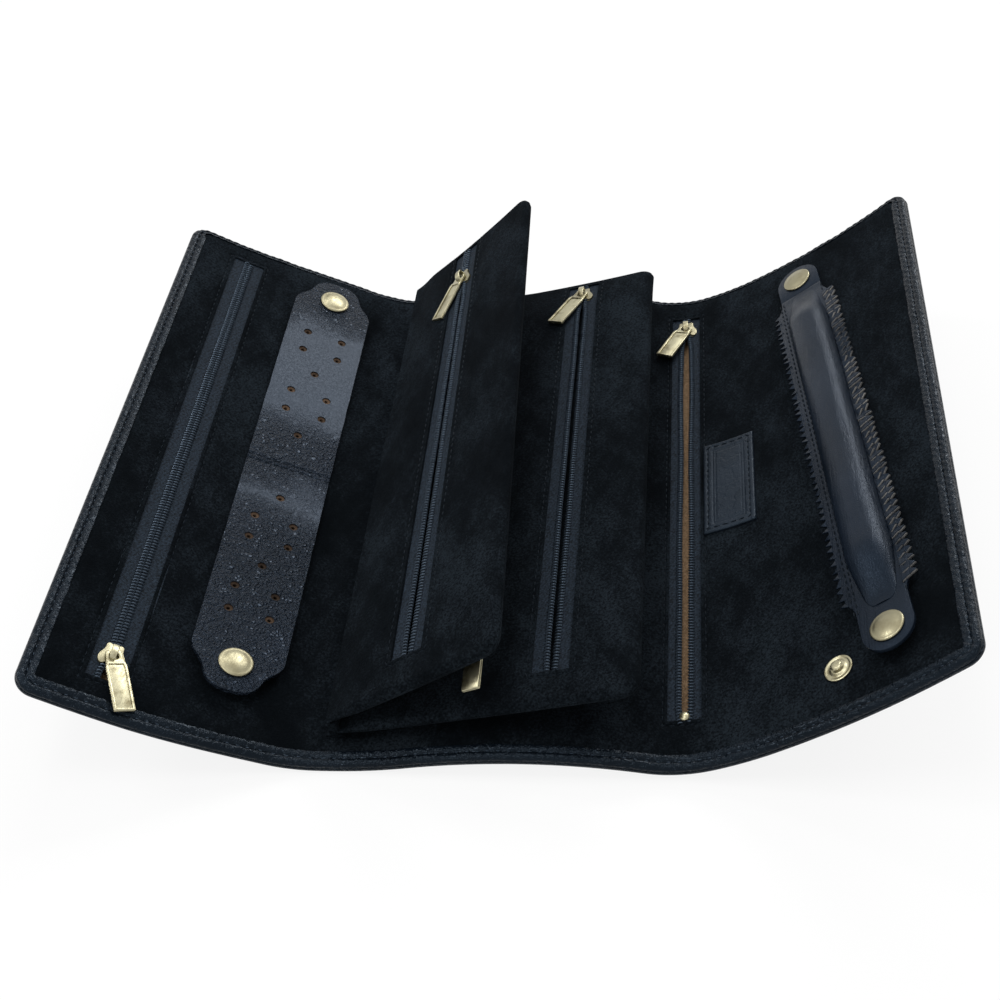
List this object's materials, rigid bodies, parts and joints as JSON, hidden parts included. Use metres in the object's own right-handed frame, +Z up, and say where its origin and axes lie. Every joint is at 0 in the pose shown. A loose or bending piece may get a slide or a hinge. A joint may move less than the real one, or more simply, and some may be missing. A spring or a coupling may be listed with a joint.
{
  "type": "jewelry case",
  "caption": "Trifold leather jewelry case, lying open: padded zip pages, zip pockets, an earring strip on snaps and a ring bar that lifts and swings.",
  "frame": {"origin": "bottom centre of the bounding box of the open case", "axes": "+X across the folds towards the ring bar, +Y along the folds away from the viewer, +Z up"},
  "size_m": [0.2804, 0.241, 0.0572],
  "materials": {
    "leather": "smooth black, semi-gloss",
    "suede": "black suede, matte nap",
    "board": "stiff fibre board, hidden",
    "bag": "tan pocket lining",
    "tape": "woven tape with nylon coil",
    "grain": "crinkled slate leather",
    "smooth": "smooth matte blue-grey leather",
    "brass": "pale antique brass"
  },
  "bodies": {
    "centre": {"cover_centre": "leather", "lining_centre": "suede", "board_centre": "board", "page_binding": "suede"},
    "left_spine": {"cover_left_spine": "leather", "lining_left_spine": "suede"},
    "left_flap": {"cover_left_flap": "leather", "lining_left_flap": "suede", "board_left_flap": "board", "left_pocket_bag": "bag", "left_zip_left_row": "tape", "left_zip_right_row": "tape", "earring_strip_seam": "grain", "earring_stud_back": "brass", "earring_stud_front": "brass"},
    "left_slider": {"left_zip_slider": "brass"},
    "left_pull": {"left_zip_pull": "brass"},
    "earring_back": {"earring_flap_back": "grain", "earring_flap_back_cap": "brass", "earring_flap_back_socket": "brass"},
    "earring_front": {"earring_flap_front": "grain", "earring_flap_front_cap": "brass", "earring_flap_front_socket": "brass"},
    "page_2": {"page_2_upper_leaf": "suede", "page_2_lower_leaf": "suede", "page_2_zip_left_row": "tape", "page_2_zip_right_row": "tape"},
    "page_2_slider": {"page_2_zip_slider": "brass"},
    "page_2_pull": {"page_2_zip_pull": "brass"},
    "page_1": {"page_1_upper_leaf": "suede", "page_1_lower_leaf": "suede", "page_1_zip_left_row": "tape", "page_1_zip_right_row": "tape", "page_1_reverse_zip_left_row": "tape", "page_1_reverse_zip_right_row": "tape"},
    "page_1_slider": {"page_1_zip_slider": "brass"},
    "page_1_pull": {"page_1_zip_pull": "brass"},
    "page_1_reverse_slider": {"page_1_reverse_zip_slider": "brass"},
    "page_1_reverse_pull": {"page_1_reverse_zip_pull": "brass"},
    "right_spine": {"cover_right_spine": "leather", "lining_right_spine": "suede", "board_right_spine": "board", "right_pocket_bag": "bag", "right_zip_left_row": "tape", "right_zip_right_row": "tape", "right_zip_stop": "brass", "label_patch": "leather"},
    "right_slider": {"right_zip_slider": "brass"},
    "right_pull": {"right_zip_pull": "brass"},
    "right_flap": {"cover_right_flap": "leather", "lining_right_flap": "suede", "board_right_flap": "board", "ring_bar_rivet": "brass", "ring_bar_stud": "brass"},
    "ring_bar_swivel": {"ring_bar_tab": "smooth"},
    "ring_bar": {"ring_bar_base": "smooth", "ring_bar_roll": "smooth", "ring_bar_snap_cap": "brass", "ring_bar_socket": "brass"}
  },
  "joints": [
    {"name": "left_spine_fold", "type": "hinge", "parent": "centre", "child": "left_spine", "pos_m": [-0.05546, 0, 0.00422], "axis": [0, 1, 0], "range_deg": [-8, 52]},
    {"name": "left_flap_fold", "type": "hinge", "parent": "left_spine", "child": "left_flap", "pos_m": [-0.0696, 0, 0.00723], "axis": [0, 1, 0], "range_deg": [-10, 86]},
    {"name": "right_spine_fold", "type": "hinge", "parent": "centre", "child": "right_spine", "pos_m": [0.04464, 0, 0.00611], "axis": [0, -1, 0], "range_deg": [-10, 60]},
    {"name": "right_flap_fold", "type": "hinge", "parent": "right_spine", "child": "right_flap", "pos_m": [0.08158, 0, 0.01595], "axis": [0, -1, 0], "range_deg": [-14, 85]},
    {"name": "page_2_turn", "type": "hinge", "parent": "centre", "child": "page_2", "pos_m": [-0.05138, 0, 0.00649], "axis": [0, 1, 0], "range_deg": [-32.5, 5]},
    {"name": "page_1_turn", "type": "hinge", "parent": "page_2", "child": "page_1", "pos_m": [-0.05242, 0, 0.01118], "axis": [0, 1, 0], "range_deg": [-20, 16.8]},
    {"name": "left_slide", "type": "slide", "parent": "left_flap", "child": "left_slider", "axis": [0, 1, 0], "range_m": [0, 0.2]},
    {"name": "left_pull_swing", "type": "hinge", "parent": "left_slider", "child": "left_pull", "pos_m": [-0.11628, -0.0998, 0.03069], "axis": [0.8035, 0.4067, -0.4347], "range_deg": [-150, 0]},
    {"name": "page_1_slide", "type": "slide", "parent": "page_1", "child": "page_1_slider", "axis": [0, -1, 0], "range_m": [0, 0.185]},
    {"name": "page_1_pull_swing", "type": "hinge", "parent": "page_1_slider", "child": "page_1_pull", "pos_m": [-0.02966, 0.097, 0.03173], "axis": [0.7006, -0.5, 0.509], "range_deg": [-150, 0]},
    {"name": "page_1_reverse_slide", "type": "slide", "parent": "page_1", "child": "page_1_reverse_slider", "axis": [0, 1, 0], "range_m": [0, 0.19]},
    {"name": "page_1_reverse_pull_swing", "type": "hinge", "parent": "page_1_reverse_slider", "child": "page_1_reverse_pull", "pos_m": [-0.00763, -0.092, 0.0397], "axis": [-0.7913, 0.2079, -0.5749], "range_deg": [-90, 11.5]},
    {"name": "page_2_slide", "type": "slide", "parent": "page_2", "child": "page_2_slider", "axis": [0, -1, 0], "range_m": [0, 0.19]},
    {"name": "page_2_pull_swing", "type": "hinge", "parent": "page_2_slider", "child": "page_2_pull", "pos_m": [0.01528, 0.101, 0.0246], "axis": [0.8699, -0.454, 0.1928], "range_deg": [-150, 0]},
    {"name": "right_slide", "type": "slide", "parent": "right_spine", "child": "right_slider", "axis": [0, -1, 0], "range_m": [0, 0.19]},
    {"name": "right_pull_swing", "type": "hinge", "parent": "right_slider", "child": "right_pull", "pos_m": [0.05637, 0.1, 0.00725], "axis": [0.9112, -0.3907, 0.1303], "range_deg": [-150, 0]},
    {"name": "earring_back_lift", "type": "hinge", "parent": "left_flap", "child": "earring_back", "pos_m": [-0.08388, 0.0075, 0.01535], "axis": [-0.9135, 0, 0.4068], "range_deg": [-75, 0]},
    {"name": "earring_front_lift", "type": "hinge", "parent": "left_flap", "child": "earring_front", "pos_m": [-0.08388, 0.0015, 0.01535], "axis": [0.9135, 0, -0.4068], "range_deg": [-75, 0]},
    {"name": "ring_bar_swing", "type": "hinge", "parent": "right_flap", "child": "ring_bar_swivel", "pos_m": [0.09968, 0.1015, 0.02786], "axis": [0.5641, 0, -0.8257], "range_deg": [-10, 5.8]},
    {"name": "ring_bar_lift", "type": "hinge", "parent": "ring_bar_swivel", "child": "ring_bar", "pos_m": [0.0998, 0.09296, 0.0294], "axis": [0.8204, 0.1132, 0.5604], "range_deg": [-60, 0.55]}
  ]
}
